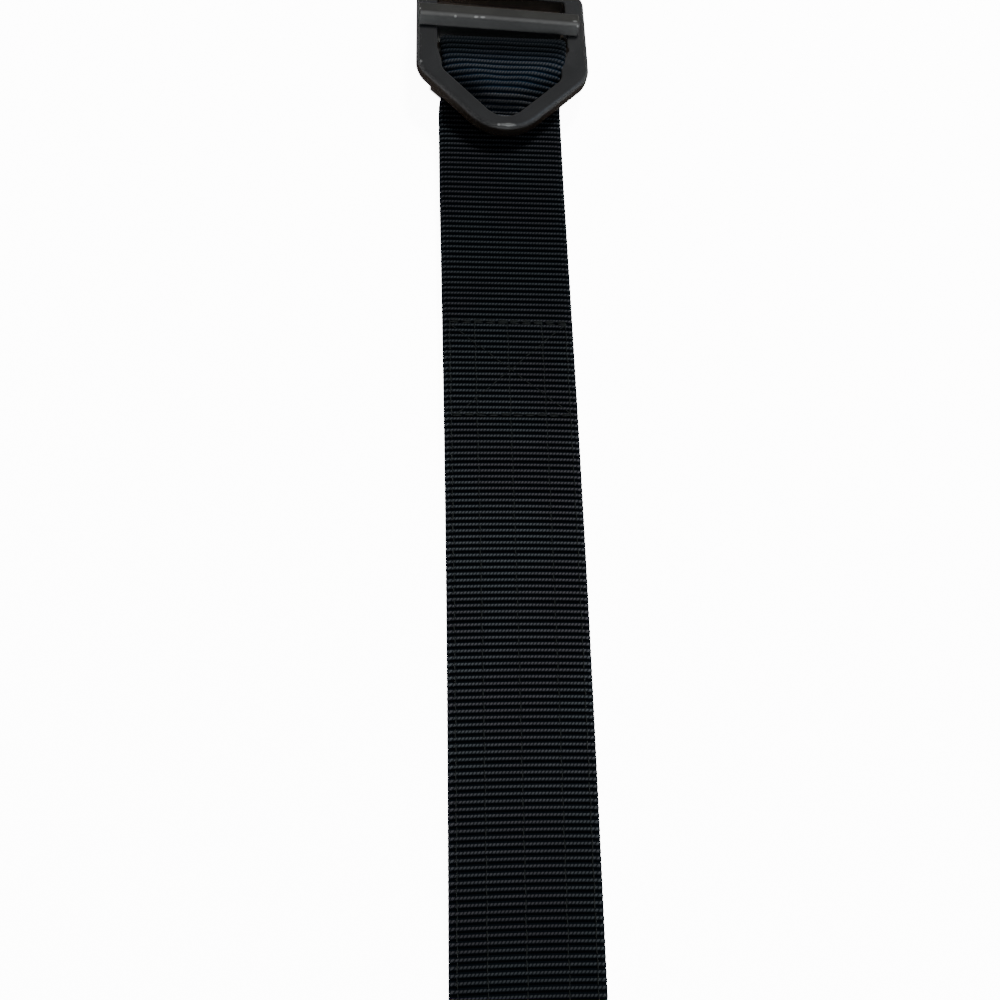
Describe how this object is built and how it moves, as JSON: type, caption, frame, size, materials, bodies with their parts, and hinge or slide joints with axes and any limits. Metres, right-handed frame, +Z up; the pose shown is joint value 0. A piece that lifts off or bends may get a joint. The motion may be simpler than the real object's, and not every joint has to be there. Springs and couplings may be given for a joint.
{
  "type": "belt",
  "caption": "Heavy ribbed webbing belt laid out straight, folded round the crossbar of a coated metal quick-fit buckle with a rounded V ring and a loose slide bar.",
  "frame": {"origin": "middle of the belt's footprint where it rests, on the centre line of the buckle", "axes": "+Y along the belt towards the buckle, +X across it, +Z up from the surface it rests on"},
  "size_m": [0.0628, 1.1, 0.0137],
  "materials": {
    "buckle_metal": "dark grey satin coating over steel, worn pale on its edges",
    "webbing": "coarse black ribbed weave"
  },
  "bodies": {
    "root": {"buckle_frame": "buckle_metal", "slide_bar": "buckle_metal", "webbing": "webbing"}
  },
  "joints": []
}
